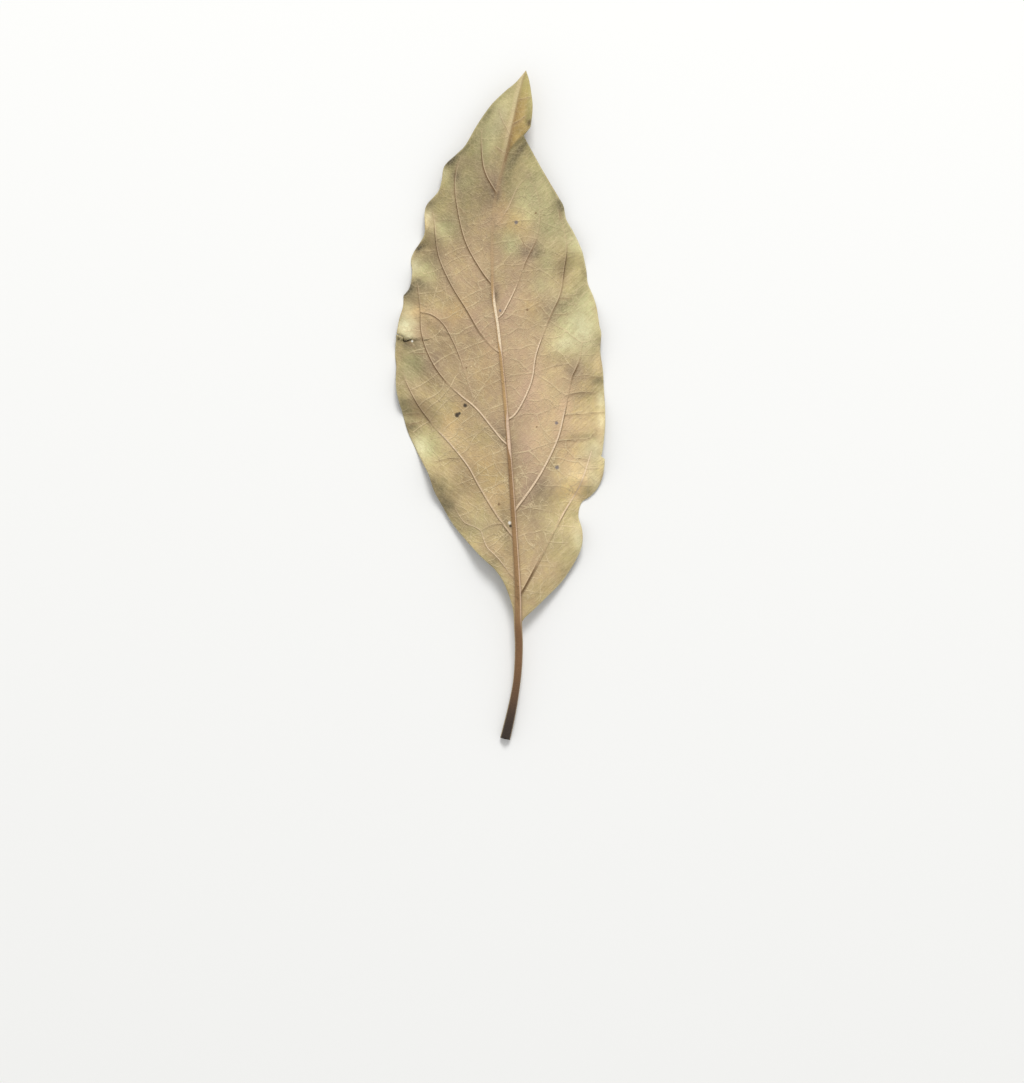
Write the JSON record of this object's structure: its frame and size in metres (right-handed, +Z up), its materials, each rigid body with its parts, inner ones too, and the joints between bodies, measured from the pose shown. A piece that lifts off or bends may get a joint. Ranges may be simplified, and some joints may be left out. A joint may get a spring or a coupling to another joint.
{
  "type": "dried avocado leaf",
  "caption": "Dried avocado leaf with a waved edge, a pleated tip, raised veins on its upturned underside and a slender stalk, lying flat",
  "frame": {"origin": "middle of the footprint, on the surface that the leaf lies on", "axes": "+Y from the stalk to the tip, +Z up out of the veined underside, which faces up, and +X across the blade"},
  "size_m": [0.0474, 0.151, 0.0072],
  "materials": {
    "leaf": "matte"
  },
  "bodies": {
    "root": {"avocado_leaf": "leaf"}
  },
  "joints": []
}
